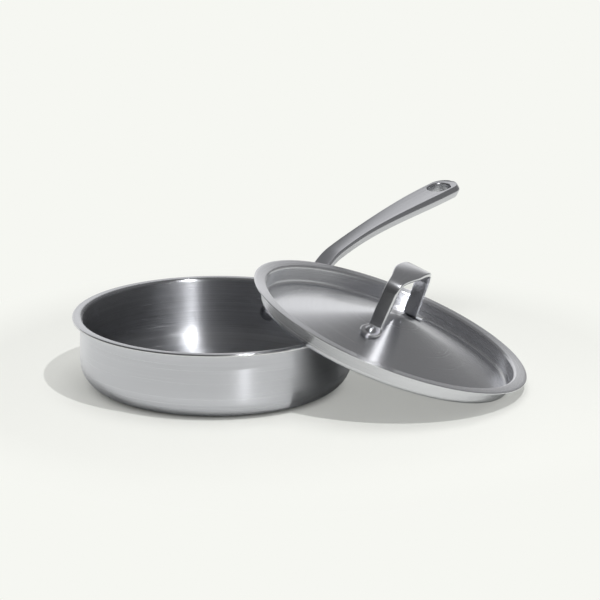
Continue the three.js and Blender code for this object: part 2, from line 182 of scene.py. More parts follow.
def bezier(points, t):
    """Point and unit tangent of a Bezier curve in the plane."""
    pts = [Vector(p) for p in points]
    while len(pts) > 2:
        pts = [a.lerp(b, t) for a, b in zip(pts, pts[1:])]
    return pts[0].lerp(pts[1], t), (pts[1] - pts[0]).normalized()


def smooth(value, start, end):
    """Goes from 0 to 1, with soft ends, while a value goes from start to end."""
    t = min(max((value - start) / (end - start), 0), 1)
    return t * t * (3 - 2 * t)


def toward(start, end, distance):
    """The point at a distance from a start, on the way to an end."""
    a, b = Vector(start), Vector(end)
    return a + (b - a).normalized() * distance


def lengths_along(points):
    """Length of a line of points up to each of them."""
    totals = [0.0]
    for a, b in zip(points, points[1:]):
        totals.append(totals[-1] + (Vector(a) - Vector(b)).length)
    return totals


def placed(name, data):
    """A new object in the scene."""
    holder = bpy.data.objects.new(name, data)
    bpy.context.collection.objects.link(holder)
    return holder


def plain_mesh(holder):
    """Mesh of an object with its modifiers applied."""
    evaluated = holder.evaluated_get(bpy.context.evaluated_depsgraph_get())
    return bpy.data.meshes.new_from_object(evaluated)


def tidy_mesh(mesh):
    """Merges doubles and turns the faces outwards."""
    work = bmesh.new()
    work.from_mesh(mesh)
    bmesh.ops.remove_doubles(work, verts=work.verts, dist=WELD)
    bmesh.ops.dissolve_degenerate(work, edges=work.edges, dist=WELD / 4)
    bmesh.ops.recalc_face_normals(work, faces=work.faces)
    work.to_mesh(mesh)
    work.free()


def keep_piece(name, mesh, body, nodes, finish, sharp=40):
    """Turns a finished mesh into a piece of the object that moves with its body."""
    mesh.shade_smooth()
    mesh.set_sharp_from_angle(angle=math.radians(sharp))
    mesh.materials.clear()
    mesh.materials.append(finish)
    piece = placed(name, mesh)
    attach(piece, body)
    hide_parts(*nodes)


# Small helpers for nodes

def node(tree, kind, inputs=(), **settings):
    """A new node with its settings, and each input linked to a socket or set to a plain value."""
    made = tree.nodes.new(kind)
    for key, value in settings.items():
        setattr(made, key, value)
    for key, value in dict(inputs).items():
        if isinstance(value, bpy.types.NodeSocket):
            tree.links.new(value, made.inputs[key])
        else:
            made.inputs[key].default_value = value
    return made


def ranged(tree, value, given, wanted, interpolation="SMOOTHSTEP"):
    """Takes a value from a given range to a wanted one."""
    made = node(tree, "ShaderNodeMapRange", {
        "Value": value, "From Min": given[0], "From Max": given[1],
        "To Min": wanted[0], "To Max": wanted[1],
    }, interpolation_type=interpolation)
    return made.outputs["Result"]


def mixed(tree, share, first, second):
    """Goes from a first value to a second one with a share."""
    made = node(tree, "ShaderNodeMix", {"Factor": share, "A": first, "B": second}, data_type="FLOAT")
    return made.outputs["Result"]


def worked_out(tree, operation, first, second):
    """Result of a sum on two values."""
    return node(tree, "ShaderNodeMath", {0: first, 1: second}, operation=operation).outputs["Value"]


# Finishes

FINE_STROKES = {"Detail": 3.0, "Roughness": 0.65}
BROAD_STROKES = {"Detail": 2.0, "Roughness": 0.5}
BROAD_WIDTH = 9
BROAD_LENGTH = 3
BROAD_SHARE = 0.4
TONE_STOPS = (0.36, 0.64)
STROKE_RANGE = (0.3, 0.7)
MIDDLE_STROKE = 0.5
LIP_POLISH_HEIGHTS = (0.0672, 0.0692)
LIP_ROUGHNESS = 0.2


def brushed_finish(
    name, dark, light, roughness, spread, anisotropy, lines, wander, relief, polished_lip=False,
):
    """Steel with brush lines that run across the U direction of the piece's own map."""
    finish = bpy.data.materials.new(name)
    finish.use_nodes = True
    tree = finish.node_tree
    shader = tree.nodes["Principled BSDF"]
    shader.inputs["Metallic"].default_value = 1
    shader.inputs["Anisotropic"].default_value = anisotropy
    brush_map = node(tree, "ShaderNodeUVMap", uv_map="brush")
    place = node(tree, "ShaderNodeTexCoord")
    across = node(tree, "ShaderNodeSeparateXYZ", {"Vector": brush_map.outputs["UV"]})
    along = node(tree, "ShaderNodeSeparateXYZ", {"Vector": place.outputs["Object"]})
    joined = node(tree, "ShaderNodeCombineXYZ", {
        "X": across.outputs["X"], "Y": along.outputs["X"], "Z": along.outputs["Y"],
    })

    def strokes(scale, look):
        """Noise that is drawn out along the brush lines."""
        drawn_out = node(tree, "ShaderNodeMapping", {
            "Vector": joined.outputs["Vector"], "Scale": scale,
        })
        noise = node(tree, "ShaderNodeTexNoise", {
            "Vector": drawn_out.outputs["Vector"], "Scale": 1.0, **look,
        })
        return noise.outputs["Fac"]

    fine = strokes((lines, wander, wander), FINE_STROKES)
    broad = strokes(
        (lines / BROAD_WIDTH, wander / BROAD_LENGTH, wander / BROAD_LENGTH), BROAD_STROKES)
    both = mixed(tree, BROAD_SHARE, fine, broad)
    tone = node(tree, "ShaderNodeValToRGB", {"Fac": both})
    for stop, position, colour in zip(tone.color_ramp.elements, TONE_STOPS, (dark, light)):
        stop.position = position
        stop.color = (*colour, 1)
    gloss = ranged(tree, both, STROKE_RANGE, (roughness + spread, roughness - spread), "LINEAR")
    height = fine
    if polished_lip:
        share = ranged(tree, along.outputs["Z"], LIP_POLISH_HEIGHTS, (0, 1))
        gloss = mixed(tree, share, gloss, LIP_ROUGHNESS)
        height = mixed(tree, share, height, MIDDLE_STROKE)
    bump = node(tree, "ShaderNodeBump", {"Height": height, "Strength": 1.0, "Distance": relief})
    grain = node(tree, "ShaderNodeTangent", direction_type="UV_MAP", uv_map="brush")
    for label, source in (
        ("Base Color", tone.outputs["Color"]), ("Roughness", gloss),
        ("Normal", bump.outputs["Normal"]), ("Tangent", grain.outputs["Tangent"]),
    ):
        tree.links.new(source, shader.inputs[label])
    return finish


outside_steel = brushed_finish(
    "outside_brushed_steel", dark=(0.68, 0.687, 0.73), light=(0.715, 0.722, 0.765),
    roughness=0.28, spread=0.01, anisotropy=1.0, lines=3600, wander=5, relief=2e-6)
cooking_steel = brushed_finish(
    "cooking_brushed_steel", dark=(0.455, 0.463, 0.485), light=(0.555, 0.563, 0.59),
    roughness=0.395, spread=0.04, anisotropy=1.0, lines=1300, wander=2.5, relief=4e-4,
    polished_lip=True)
lid_steel = brushed_finish(
    "lid_brushed_steel", dark=(0.69, 0.697, 0.725), light=(0.735, 0.742, 0.77),
    roughness=0.265, spread=0.015, anisotropy=1.0, lines=3200, wander=4, relief=5e-6)
handle_steel = brushed_finish(
    "satin_handle_steel", dark=(0.50, 0.507, 0.535), light=(0.575, 0.582, 0.61),
    roughness=0.29, spread=0.03, anisotropy=0.5, lines=3200, wander=30, relief=5e-6)
strap_steel = brushed_finish(
    "satin_strap_steel", dark=(0.64, 0.647, 0.675), light=(0.70, 0.707, 0.735),
    roughness=0.22, spread=0.02, anisotropy=0.4, lines=3200, wander=30, relief=2e-6)
rivet_steel = brushed_finish(
    "polished_rivet_steel", dark=(0.515, 0.522, 0.55), light=(0.595, 0.602, 0.635),
    roughness=0.18, spread=0.03, anisotropy=0.2, lines=2500, wander=60, relief=4e-6)
core_aluminium = brushed_finish(
    "bare_aluminium_edge", dark=(0.68, 0.682, 0.70), light=(0.75, 0.752, 0.77),
    roughness=0.2, spread=0.03, anisotropy=0.3, lines=2500, wander=20, relief=4e-6)


# Trees of geometry nodes

def started_tree(name, inputs, output):
    """A tree with named inputs and one output, and its two end nodes."""
    tree = bpy.data.node_groups.new(name, "GeometryNodeTree")
    sockets = {
        label: tree.interface.new_socket(name=label, in_out="INPUT", socket_type=kind)
        for label, kind in inputs
    }
    tree.interface.new_socket(name=output, in_out="OUTPUT", socket_type="NodeSocketGeometry")
    return tree, sockets, node(tree, "NodeGroupInput"), node(tree, "NodeGroupOutput")


def finished_tree(tree, geometry, start, end):
    """Ends a tree with plain geometry in the finish that it is given."""
    real = node(tree, "GeometryNodeRealizeInstances", {"Geometry": geometry})
    dress = node(tree, "GeometryNodeSetMaterial", {
        "Geometry": real.outputs["Geometry"], "Material": start.outputs["Finish"],
    })
    tree.links.new(dress.outputs["Geometry"], end.inputs[0])


def made_by(tree, sockets, holder, values):
    """Mesh that a tree makes of an object, which is then removed."""
    maker = holder.modifiers.new("maker", "NODES")
    maker.node_group = tree
    for label, value in values.items():
        maker[sockets[label].identifier] = value
    mesh = plain_mesh(holder)
    holder.modifiers.remove(maker)
    bpy.data.objects.remove(holder)
    return mesh


# Turned pieces: a tree of nodes spins a section about the upright axis

def turning_tree():
    """Spins a section to a sheet that remembers the length along the section."""
    tree, sockets, start, end = started_tree("turned_sheet", (
        ("Section", "NodeSocketGeometry"), ("Turning radius", "NodeSocketFloat"),
        ("Segments", "NodeSocketInt"), ("Finish", "NodeSocketMaterial"),
    ), "Piece")
    length = node(tree, "GeometryNodeSplineParameter")
    keep = node(tree, "GeometryNodeCaptureAttribute")
    keep.capture_items.new("FLOAT", "along")
    tree.links.new(start.outputs["Section"], keep.inputs["Geometry"])
    tree.links.new(length.outputs["Length"], keep.inputs["along"])
    ring = node(tree, "GeometryNodeCurvePrimitiveCircle", {
        "Resolution": start.outputs["Segments"], "Radius": start.outputs["Turning radius"],
    })
    sweep = node(tree, "GeometryNodeCurveToMesh", {
        "Curve": ring.outputs["Curve"], "Profile Curve": keep.outputs["Geometry"],
    })
    store = node(tree, "GeometryNodeStoreNamedAttribute", {
        "Geometry": sweep.outputs["Mesh"], "Name": "along", "Value": keep.outputs["along"],
    }, data_type="FLOAT", domain="POINT")
    weld = node(tree, "GeometryNodeMergeByDistance", {
        "Geometry": store.outputs["Geometry"], "Distance": WELD,
    })
    finished_tree(tree, weld.outputs["Geometry"], start, end)
    return tree, sockets


TURNING, TURNING_SOCKETS = turning_tree()
TURNING_RADIUS = 150
ON_AXIS = 1e-10


def turned_mesh(name, section, finish, segments):
    """A section of (radius, height) points, both ends on the axis, spun to a closed mesh."""
    curve = bpy.data.curves.new(name + "_section", "CURVE")
    curve.dimensions = "3D"
    line = curve.splines.new("POLY")
    line.points.add(len(section) - 1)
    for point, (radius, height) in zip(line.points, section):
        point.co = ((radius - TURNING_RADIUS) * MM, -height * MM, 0, 1)
    mesh = made_by(TURNING, TURNING_SOCKETS, placed(name + "_section", curve), {
        "Turning radius": TURNING_RADIUS * MM, "Segments": segments, "Finish": finish,
    })
    mesh.name = name
    tidy_mesh(mesh)
    map_turned(mesh)
    return mesh


def map_turned(mesh):
    """U runs along the section and V round the axis, both in metres."""
    along = mesh.attributes["along"].data
    chart = mesh.uv_layers.new(name="brush")
    for face in mesh.polygons:
        middle = math.atan2(face.center.y, face.center.x)
        for corner in face.loop_indices:
            index = mesh.loops[corner].vertex_index
            spot = mesh.vertices[index].co
            angle = middle
            if spot.x ** 2 + spot.y ** 2 > ON_AXIS:
                turn = math.atan2(spot.y, spot.x) - middle
                angle = middle + (turn + math.pi) % (2 * math.pi) - math.pi
            chart.data[corner].uv = (along[index].value, angle * TURNING_RADIUS * MM)


# Pan plies

LIP_CENTRE = (BODY_RADIUS + LIP_BEND, PAN_HEIGHT - WALL - LIP_BEND)


def lip_edge(depth):
    """Point of the lip's rounded edge at a depth below the pan's outside face."""
    if depth < LIP_EDGE_EASE:
        past, radius = LIP_EDGE_EASE - max(depth, 0), LIP_EDGE_EASE
    else:
        past, radius = max(depth - WALL + LIP_EDGE_ROUND, 0), LIP_EDGE_ROUND
    setback = radius - math.sqrt(radius ** 2 - past ** 2)
    return RIM_RADIUS - setback, LIP_CENTRE[1] + LIP_BEND + depth


def pan_section(depth):
    """The pan's section at a depth below its outside face, from the axis to the lip."""
    corner_centre = (BODY_RADIUS - BASE_CORNER_RADIUS, BASE_CORNER_RADIUS)
    base = [(corner_centre[0] * i / 8, depth) for i in range(8)]
    corner = arc(corner_centre, BASE_CORNER_RADIUS - depth, -QUARTER, 0, 18)
    straight = LIP_CENTRE[1] - BASE_CORNER_RADIUS
    wall = [
        (BODY_RADIUS - depth, BASE_CORNER_RADIUS + straight * i / 4) for i in range(1, 4)
    ]
    bend = arc(LIP_CENTRE, LIP_BEND + depth, math.pi, QUARTER, 12)
    end = lip_edge(depth)
    flat = [((bend[-1][0] + end[0]) / 2, end[1]), end]
    return base + corner + wall + bend + flat


def ply_section(outside, inside):
    """Closed section of one ply, its edge cut to the rounded edge of the lip."""
    edge = []
    for i in range(1, LIP_EDGE_STEPS):
        share = (1 - math.cos(math.pi * i / LIP_EDGE_STEPS)) / 2
        edge.append(lip_edge(outside + (inside - outside) * share))
    return pan_section(outside) + edge + pan_section(inside)[::-1]


def make_pan():
    """The three plies, each turned as a sheet of its own."""
    plies = (
        ("pan_outside", "pan_outer_ply", 0, OUTER_PLY, "brushed_steel", outside_steel),
        ("pan_core", "pan_aluminium_core", OUTER_PLY + BOND_GAP, OUTER_PLY + CORE_PLY,
         "aluminium_core", core_aluminium),
        ("pan_inside", "pan_cooking_surface", OUTER_PLY + CORE_PLY + BOND_GAP, WALL,
         "cooking_steel", cooking_steel),
    )
    for name, solid, outside, inside, slot_name, finish in plies:
        mesh = turned_mesh(name, ply_section(outside, inside), finish, PAN_SEGMENTS)
        keep_piece(name, mesh, "pan", [solid], finish)


# Lofted pieces: rings of points joined by quads, mapped with U round the ring

def loft_mesh(name, rings):
    """A closed mesh through rings with the same number of points, with its own map."""
    count = len(rings[0])
    vertices = [p for ring in rings for p in ring]
    faces = []
    for i in range(len(rings) - 1):
        for j in range(count):
            a, b = i * count + j, i * count + (j + 1) % count
            faces.append((a, b, b + count, a + count))
    quads = len(faces)
    for end, order in ((0, -1), (len(rings) - 1, 1)):
        vertices.append(sum((Vector(p) for p in rings[end]), Vector()) / count)
        for j in range(count):
            pair = (end * count + j, end * count + (j + 1) % count)[::order]
            faces.append((*pair, len(vertices) - 1))
    mesh = bpy.data.meshes.new(name)
    mesh.from_pydata([Vector(p) * MM for p in vertices], [], faces)
    widest = max(rings, key=lambda ring: lengths_along(ring)[-1])
    round_ring = lengths_along(widest + widest[:1])
    travel = lengths_along([ring[0] for ring in rings])
    chart = mesh.uv_layers.new(name="brush")
    for number, face in enumerate(mesh.polygons):
        if number < quads:
            i, j = divmod(number, count)
            spots = ((j, i), (j + 1, i), (j + 1, i + 1), (j, i + 1))
            marks = [(round_ring[u] * MM, travel[v] * MM) for u, v in spots]
        else:
            marks = [(mesh.vertices[v].co.y, mesh.vertices[v].co.z) for v in face.vertices]
        for corner, mark in zip(face.loop_indices, marks):
            chart.data[corner].uv = mark
    mesh.validate()
    return mesh


def combined(name, first, second, operation):
    """Boolean of two meshes, as a new mesh."""
    holders = []
    for mesh in (first, second):
        tidy_mesh(mesh)
        holders.append(placed(mesh.name, mesh))
    tool = holders[0].modifiers.new("join", "BOOLEAN")
    tool.operation = operation
    tool.solver = "EXACT"
    tool.object = holders[1]
    mesh = plain_mesh(holders[0])
    mesh.name = name
    for holder in holders:
        bpy.data.objects.remove(holder)
    return mesh


# Pan handle

ROUND_CENTRE = HANDLE_REACH - TIP_HALF_WIDTH - SIDE_FLARE[1]


def stem_line():
    """Upper line of the stem, in the plane of the handle, as two Bezier curves."""
    out, climb = SHOULDER[0] - ROOT[0], SHOULDER[1] - ROOT[1]
    run = HANDLE_REACH - SHOULDER[0]
    lower = [
        ROOT, (ROOT[0] + out * ROOT_PULL[0], ROOT[1] + climb * ROOT_PULL[1]),
        (SHOULDER[0] - out * SHOULDER_PULL, SHOULDER[1] - SHOULDER_RISE * out * SHOULDER_PULL),
        SHOULDER,
    ]
    upper = [
        SHOULDER,
        (SHOULDER[0] + run * STEM_PULL, SHOULDER[1] + SHOULDER_RISE * run * STEM_PULL),
        (HANDLE_REACH - run * STEM_PULL, HANDLE_TIP_HEIGHT - TIP_RISE * run * STEM_PULL),
        (HANDLE_REACH, HANDLE_TIP_HEIGHT),
    ]
    return lower, upper


def stem_sizes(reach, height):
    """Half width and depth of the casting's top face, its widest line and its underside."""
    grown = ROOT_SHARE + (1 - ROOT_SHARE) * smooth(height, ROOT[1], ROOT[1] + ROOT_FLARE)
    along = smooth(reach, SHOULDER[0], ROUND_CENTRE)
    flare = (SIDE_FLARE[0] + (SIDE_FLARE[1] - SIDE_FLARE[0]) * along) * grown
    edge = (EDGE_DROP[0] + (EDGE_DROP[1] - EDGE_DROP[0]) * along) * grown
    under = edge + BEVEL_DROP * grown
    inset = BEVEL_INSET * grown
    if reach <= ROUND_CENTRE:
        to_root = 1 - smooth(reach, BODY_RADIUS, BODY_RADIUS + ROOT_FLARE)
        to_tip = smooth(reach, SHOULDER[0] + WIDENING_START, ROUND_CENTRE - WIDENING_END)
        half = WAIST_HALF_WIDTH + (ROOT_HALF_WIDTH - WAIST_HALF_WIDTH) * to_root
        half += (TIP_HALF_WIDTH - WAIST_HALF_WIDTH) * to_tip
        return (half, 0), (half + flare, edge), (half + flare - inset, under)
    widest = TIP_HALF_WIDTH + flare
    narrow = widest - inset
    past = min(reach - ROUND_CENTRE, widest - NOSE_END)
    top_half, widest_half, under_half = (
        math.sqrt(max(radius ** 2 - past ** 2, 0)) for radius in (TIP_HALF_WIDTH, widest, narrow)
    )
    top = edge * max(past - TIP_HALF_WIDTH, 0) / flare
    bottom = under if past < narrow else edge + (under - edge) * (widest - past) / inset
    return (top_half, top), (widest_half, edge), (under_half, bottom)


def softened(points, cuts, steps=4):
    """A line of points with each inner corner replaced by a small curve."""
    line = [Vector(p) for p in points]
    made = [line[0]]
    for before, corner, after, cut in zip(line, line[1:], line[2:], cuts):
        back = min(cut, CUT_LIMIT * (before - corner).length)
        on = min(cut, CUT_LIMIT * (after - corner).length)
        a = corner + (before - corner).normalized() * back
        b = corner + (after - corner).normalized() * on
        if (a - b).length > 1e-6:
            made += [bezier((a, corner, b), i / steps)[0] for i in range(steps + 1)]
        else:
            made += [corner] * (steps + 1)
    return made + [line[-1]]


def stem_outline(top, widest, under):
    """Section of the casting: hollow top, sides that flare out, lower bevels that lean in."""
    hollow = TOP_HOLLOW * min(1, top[0] / HOLLOW_WIDTH)
    dish = [(top[0] * u, top[1] + hollow * (1 - u * u)) for u in DISH_SPOTS]
    side_under, inner_under = ((under[0] * u, under[1]) for u in UNDER_SPOTS)
    sides = softened([(top[0] * DISH_EDGE, top[1]), top, widest, under, side_under], STEM_CUTS)
    right = dish + [tuple(p) for p in sides] + [inner_under]
    left = [(-across, down) for across, down in right[:0:-1]]
    return right + left


def stem_ring(point, tangent):
    """Section of the casting at a point of its upper line, square to that line."""
    up = Vector((-tangent.y, tangent.x))
    outline = stem_outline(*stem_sizes(point.x, point.y))
    return [
        Vector((point.x - up.x * down, across, point.y - up.y * down)) for across, down in outline
    ]


def share_at(curve, reach):
    """How far along a curve it comes to a distance from the pan's axis."""
    low, high = 0.0, 1.0
    for _ in range(HALVINGS):
        middle = (low + high) / 2
        if bezier(curve, middle)[0].x < reach:
            low = middle
        else:
            high = middle
    return high


def stem_mesh():
    """Stem of the casting, from its root behind the base plate to the round nose."""
    lower, upper = stem_line()
    round_start = share_at(upper, ROUND_CENTRE)
    spots = [(lower, i / ROOT_RINGS) for i in range(ROOT_RINGS)]
    spots += [(upper, round_start * i / STEM_RINGS) for i in range(STEM_RINGS)]
    for i in range(NOSE_RINGS + 1):
        past = (HANDLE_REACH - ROUND_CENTRE) * math.sin(QUARTER * i / NOSE_RINGS)
        spots.append((upper, share_at(upper, ROUND_CENTRE + past)))
    return loft_mesh("stem", [stem_ring(*bezier(curve, t)) for curve, t in spots])


def slot_ring(grow, height):
    """Outline of the hanging hole, grown by a margin, at a height."""
    centre = HANDLE_REACH - HOLE_RIM - HOLE_HALF_WIDTH
    half = HOLE_HALF_WIDTH + grow
    outline = arc((centre, 0), half, -QUARTER, QUARTER, 28)
    outline += arc((centre - HOLE_STRAIGHT, 0), half, QUARTER, 3 * QUARTER, 28)
    lean = TIP_RISE * (height - HANDLE_TIP_HEIGHT)
    return [Vector((x - lean, y, height + TIP_RISE * (x - HANDLE_REACH))) for x, y in outline]


def slot_cutter():
    """The hanging hole with a rounded mouth above and below, brushed round the hole."""
    top = HANDLE_TIP_HEIGHT
    bottom = HANDLE_TIP_HEIGHT - EDGE_DROP[1] - BEVEL_DROP
    turns = [QUARTER * i / MOUTH_STEPS for i in range(MOUTH_STEPS + 1)]
    mouth = [(HOLE_MOUTH * (1 - math.sin(a)), HOLE_MOUTH * (1 - math.cos(a))) for a in turns]
    rings = [slot_ring(HOLE_MOUTH, bottom - CUTTER_REACH)]
    rings += [slot_ring(grow, bottom - MOUTH_SINK[0] + rise) for grow, rise in mouth]
    rings += [slot_ring(grow, top - MOUTH_SINK[1] - rise) for grow, rise in mouth[::-1]]
    rings.append(slot_ring(HOLE_MOUTH, top + CUTTER_REACH))
    slot = loft_mesh("slot", rings)
    for mark in slot.uv_layers["brush"].data:
        mark.uv = (mark.uv.y, mark.uv.x)
    return slot


def plate_mesh():
    """Curved base plate with round ends and softened edges, hugging the wall."""
    face = PLATE_INSIDE + PLATE_THICKNESS
    round_end = PLATE_HEIGHT / 2
    straight = face * (RIVET_ANGLE + PLATE_MARGIN / face) - round_end
    side = [straight - straight * 2 * i / PLATE_STEPS for i in range(1, PLATE_STEPS)]
    outline = arc((straight, 0), round_end, -QUARTER, QUARTER, 20)
    outline += [(x, round_end) for x in side]
    outline += arc((-straight, 0), round_end, QUARTER, 3 * QUARTER, 20)
    outline += [(-x, -round_end) for x in side]

    def plate_ring(depth, share):
        """The outline at a depth, drawn in to a share of its own height."""
        radius, ring = PLATE_INSIDE + depth, []
        for x, y in outline:
            core = min(max(x, -straight), straight)
            angle = (core + (x - core) * share) / face
            ring.append(Vector((
                radius * math.cos(angle), radius * math.sin(angle), RIVET_HEIGHT + y * share)))
        return ring

    steps = [(0, PLATE_BACK_EASE), (PLATE_BACK_EASE, 0)]
    steps += [
        (PLATE_THICKNESS - PLATE_EASE * back, PLATE_EASE * inset) for back, inset in PLATE_ROUNDING
    ]
    steps.append((PLATE_THICKNESS, PLATE_EASE + PLATE_FACE_STEP))
    steps += [(PLATE_THICKNESS, round_end * share) for share in PLATE_FACE_SHARES]
    rings = [plate_ring(0, PLATE_BACK_SHARE)]
    rings += [plate_ring(depth, 1 - inset / round_end) for depth, inset in steps]
    return loft_mesh("plate", rings)


def pan_space_mesh():
    """The room that the pan takes, with the gap that the casting keeps from it."""
    section = pan_section(-SEAT_GAP)
    above = PAN_HEIGHT + SPACE_ABOVE
    section += [(section[-1][0], above), (0, above)]
    return turned_mesh("pan_space", section, handle_steel, PAN_SEGMENTS)


def make_pan_handle():
    """One casting: the stem and the base plate, less the hanging hole and the pan's room."""
    casting = combined("casting", stem_mesh(), plate_mesh(), "UNION")
    casting = combined("casting", casting, slot_cutter(), "DIFFERENCE")
    casting = combined("pan_handle_casting", casting, pan_space_mesh(), "DIFFERENCE")
    keep_piece(
        "pan_handle_casting", casting, "pan", ["pan_handle"], handle_steel, sharp=32)


# Lid

LID_CENTRE = Vector((
    LID_DISTANCE * math.cos(LID_DIRECTION), LID_DISTANCE * math.sin(LID_DIRECTION), LID_HEIGHT))
LID_PLACE = (
    Matrix.Translation(LID_CENTRE * MM)
    @ Matrix.Rotation(LID_DIRECTION, 4, "Z") @ Matrix.Rotation(LID_LEAN, 4, "Y")
)
CONE_FOOT = (
    SKIRT_RADIUS - LID_SHEET - GROOVE_RADIUS * (1 + math.sin(CONE_SLOPE)),
    LID_SHEET - SKIRT_DEPTH + GROOVE_RADIUS * (1 - math.cos(CONE_SLOPE)),
)


def cone_height(radius):
    """Height of the lid's coned middle at a distance from its axis."""
    return CONE_FOOT[1] + (CONE_FOOT[0] - radius) * math.tan(CONE_SLOPE)


def lid_section(depth):
    """The lid's section at a depth below its top face, from the axis to the flange's edge."""
    inside_wall = SKIRT_RADIUS - LID_SHEET
    apex_height = cone_height(0) - APEX_RADIUS / math.cos(CONE_SLOPE)
    apex = arc((0, apex_height), APEX_RADIUS - depth, QUARTER, QUARTER - CONE_SLOPE, 10)
    apex[0] = (0, apex[0][1])
    groove = arc(
        (inside_wall - GROOVE_RADIUS, LID_SHEET - SKIRT_DEPTH + GROOVE_RADIUS),
        GROOVE_RADIUS + depth, -QUARTER - CONE_SLOPE, 0, 16)
    start, stop = Vector(apex[-1]), Vector(groove[0])
    cone = [tuple(start.lerp(stop, i / 8)) for i in range(1, 8)]
    bend = arc(
        (inside_wall + FLANGE_BEND, -FLANGE_BEND), FLANGE_BEND - depth, math.pi, QUARTER, 8)
    flange = [(FLANGE_RADIUS - FLANGE_EDGE_STEP, -depth), (FLANGE_RADIUS - FLANGE_EDGE_EASE, -depth)]
    return apex + cone + groove + bend + flange


def make_lid_shell():
    """The pressed sheet of the lid, with a softened edge."""
    edge = [
        (FLANGE_RADIUS - FLANGE_EDGE_CUT, -FLANGE_EDGE_CUT),
        (FLANGE_RADIUS, -FLANGE_EDGE_EASE),
        (FLANGE_RADIUS, FLANGE_EDGE_EASE - LID_SHEET),
        (FLANGE_RADIUS - FLANGE_EDGE_CUT, FLANGE_EDGE_CUT - LID_SHEET),
    ]
    section = lid_section(0) + edge + lid_section(LID_SHEET)[::-1]
    mesh = turned_mesh("lid_sheet", section, lid_steel, LID_SEGMENTS)
    mesh.transform(LID_PLACE)
    keep_piece("lid_sheet", mesh, "lid", ["lid_shell"], lid_steel)


def strap_spots():
    """Points, tangents and thickness along the middle of the strap, from foot to foot."""
    rise = (SEAT_GAP + STRAP_THICKNESS / 2) / math.cos(CONE_SLOPE)
    foot_end = Vector((FOOT_REACH, cone_height(FOOT_REACH) + rise))
    foot = Vector((LEG_FOOT, cone_height(LEG_FOOT) + rise))
    shoulder = Vector(STRAP_SHOULDER)
    top = Vector((0, GRIP_HEIGHT - STRAP_THICKNESS / 2))
    crest = Vector((0, (2 * top.y - shoulder.y * (1 - BROW_SHARE)) / (1 + BROW_SHARE)))
    brow = shoulder.lerp(crest, BROW_SHARE)
    foot_out, foot_up = toward(foot, foot_end, FOOT_BEND), toward(foot, shoulder, FOOT_BEND)
    neck = toward(shoulder, foot, SHOULDER_BEND)
    half = []
    for curve, count, growth in (
        ((foot_end, foot_out), 26, (0, 0)), ((foot_out, foot, foot_up), 12, (0, 1)),
        ((foot_up, neck), 14, (1, 1)), ((neck, shoulder, brow), 18, (1, 0)),
        ((brow, brow.lerp(crest, 0.5), top), 24, (0, 0)),
    ):
        for i in range(count):
            share = i / count
            grown = growth[0] + (growth[1] - growth[0]) * smooth(share, 0, 1)
            thickness = STRAP_THICKNESS + (LEG_THICKNESS - STRAP_THICKNESS) * grown
            if curve[0] == foot_end:
                share = 1 - math.cos(QUARTER * i / count)
            half.append((*bezier(curve, share), thickness))
    mirrored = [
        (Vector((-point.x, point.y)), Vector((tangent.x, -tangent.y)), thickness)
        for point, tangent, thickness in half[::-1]
    ]
    return half + [(top, Vector((-1, 0)), STRAP_THICKNESS)] + mirrored


def strap_half_width(offset):
    """Half width of the strap seen from above, at a distance from its middle."""
    foot_centre = FOOT_REACH - FOOT_HALF_WIDTH
    if offset > foot_centre:
        past = min(offset - foot_centre, FOOT_HALF_WIDTH * FOOT_END_SHARE)
        return math.sqrt(FOOT_HALF_WIDTH ** 2 - past ** 2)
    if offset > LEG_FOOT:
        widening = smooth(offset, LEG_FOOT, foot_centre)
        return LEG_HALF_WIDTH + (FOOT_HALF_WIDTH - LEG_HALF_WIDTH) * widening
    swell = 1 - smooth(offset, STRAP_SHOULDER[0] * GRIP_SHARE, STRAP_SHOULDER[0])
    return LEG_HALF_WIDTH + (GRIP_HALF_WIDTH - LEG_HALF_WIDTH) * swell


def strap_ring(point, tangent, thickness):
    """Rounded section of the strap, square to its middle line."""
    half, thick = strap_half_width(abs(point.x)), thickness / 2
    ease = min(thick * STRAP_EDGE_SHARE, half * STRAP_EDGE_LIMIT)
    outline = []
    for quarter, (side, face) in enumerate(((1, 1), (-1, 1), (-1, -1), (1, -1))):
        centre = (side * (half - ease), face * (thick - ease))
        outline += arc(centre, ease, quarter * QUARTER, (quarter + 1) * QUARTER, 6)
    up = Vector((-tangent.y, tangent.x))
    return [
        Vector((point.x + up.x * down, across, point.y + up.y * down)) for across, down in outline
    ]


def make_lid_handle():
    """The cast strap, turned on the lid to where its feet are riveted."""
    mesh = loft_mesh("lid_strap", [strap_ring(*spot) for spot in strap_spots()])
    tidy_mesh(mesh)
    mesh.transform(LID_PLACE @ Matrix.Rotation(STRAP_ANGLE, 4, "Z"))
    keep_piece("lid_strap", mesh, "lid", ["lid_handle"], strap_steel, sharp=50)


# Rivets: one turned rivet, set at each pair of holes by a tree of nodes

def rivet_section(head_radius, head_height, shank_radius, tail_radius, tail_height, grip):
    """Domed head, shank and formed tail of a rivet, along its axis."""
    dome_radius = (head_radius ** 2 + head_height ** 2) / (2 * head_height)
    sweep = math.asin(head_radius / dome_radius) * DOME_SHARE
    top = grip + head_height
    dome = arc((0, top - dome_radius), dome_radius, QUARTER, QUARTER - sweep, 14)
    dome[0] = (0, top)
    rim = [(head_radius, grip + rise) for rise in HEAD_RIM]
    shank = [(shank_radius, grip), (shank_radius, 0)]
    tail = [(tail_radius * out, -tail_height * down) for out, down in TAIL_SHAPE]
    return dome + rim + shank + tail


